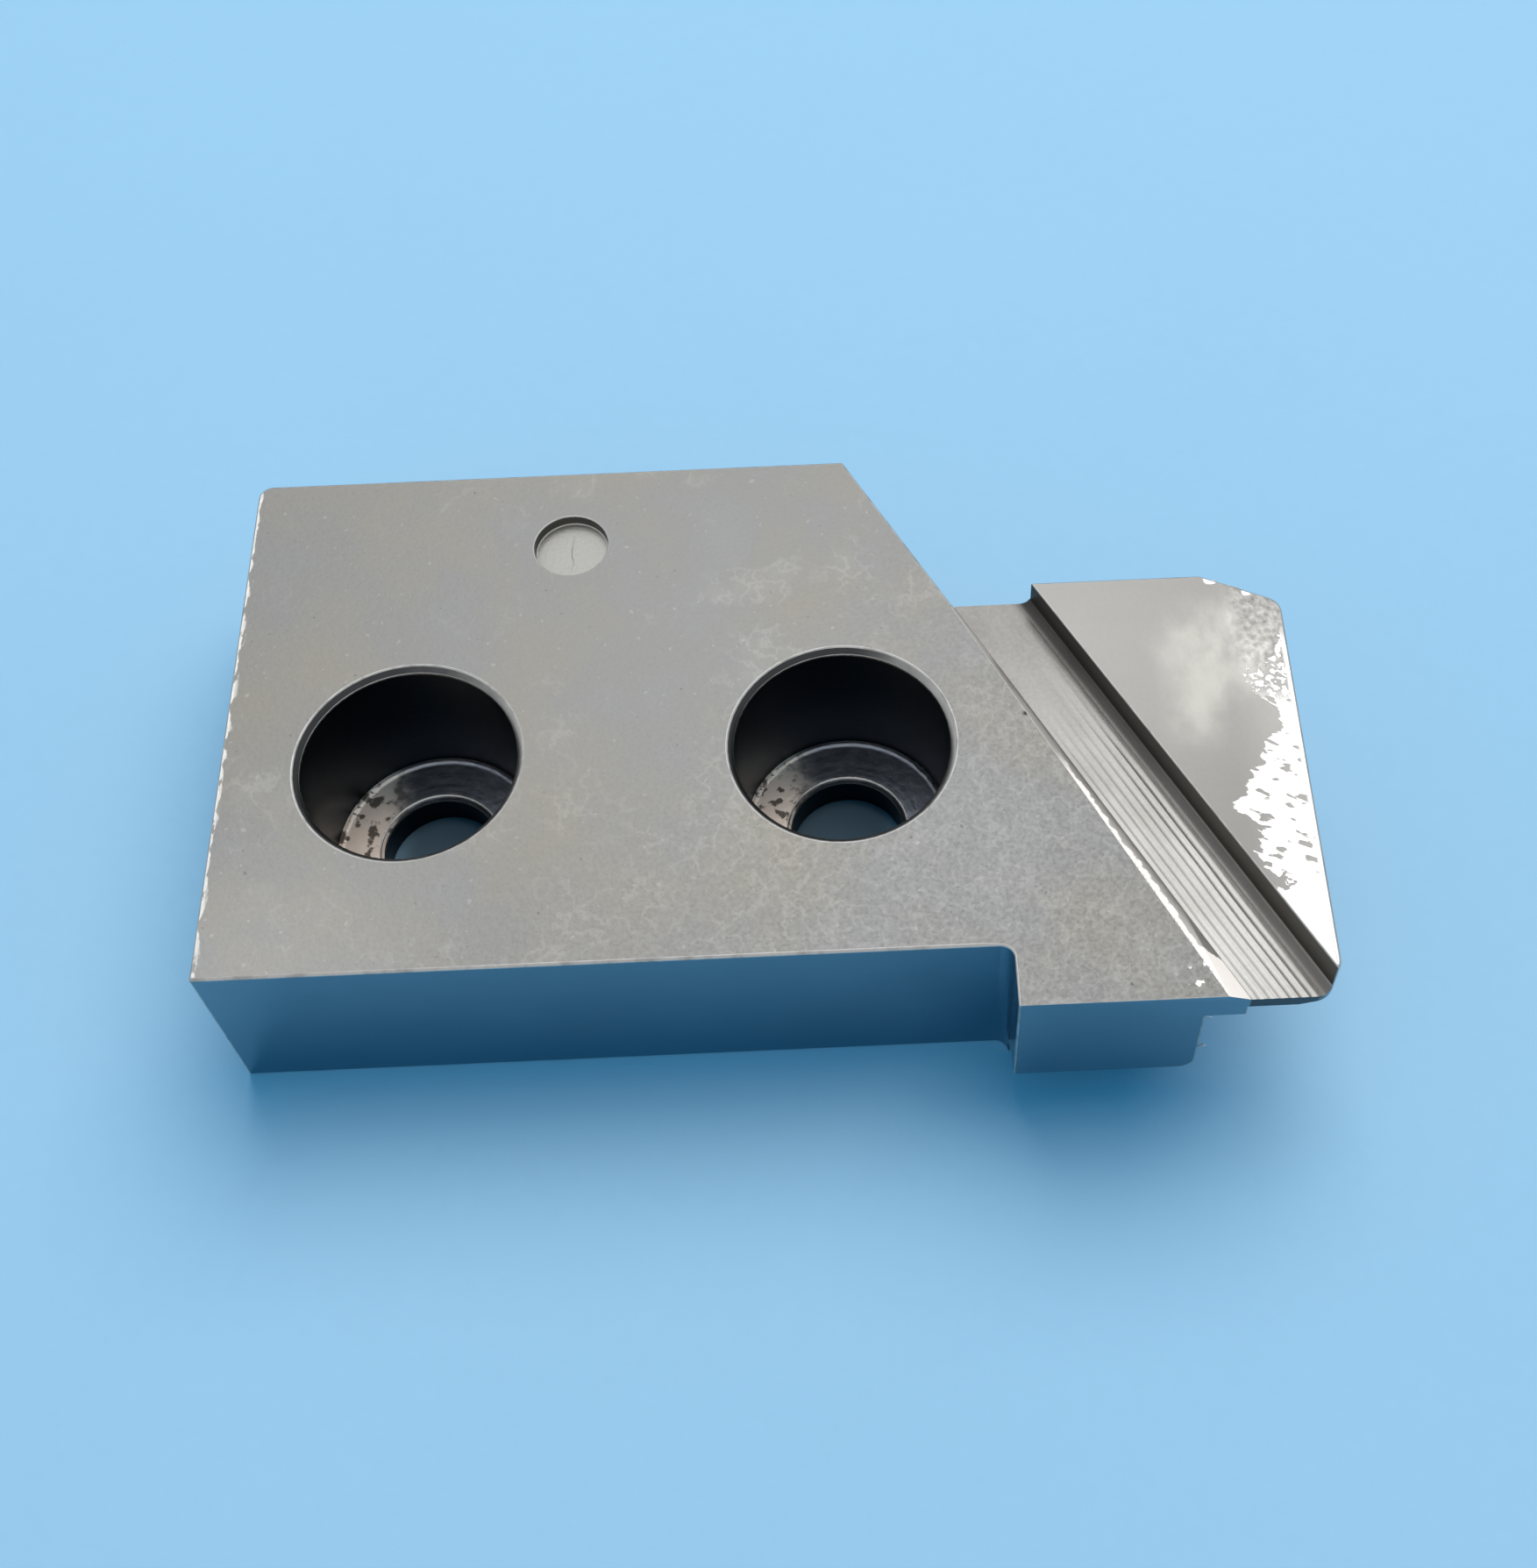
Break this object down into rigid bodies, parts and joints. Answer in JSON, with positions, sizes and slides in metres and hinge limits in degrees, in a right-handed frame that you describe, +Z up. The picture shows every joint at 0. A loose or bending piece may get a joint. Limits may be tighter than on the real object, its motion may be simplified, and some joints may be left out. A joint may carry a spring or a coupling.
{
  "type": "machined jaw block",
  "caption": "Flat machined metal block with counterbored screw holes, a stepped nose and an overhanging plate that ends in a raised three-cornered blade.",
  "frame": {"origin": "axis of the first screw hole, in the bottom face that the block is screwed down on", "axes": "+X along the line of the screw holes towards the blade, +Y from the front face to the back face, +Z up out of the top face"},
  "size_m": [0.0495, 0.0302, 0.0116],
  "materials": {
    "machined_metal": "matte, with polished and milled places"
  },
  "bodies": {
    "root": {"jaw_block": "machined_metal"}
  },
  "joints": []
}
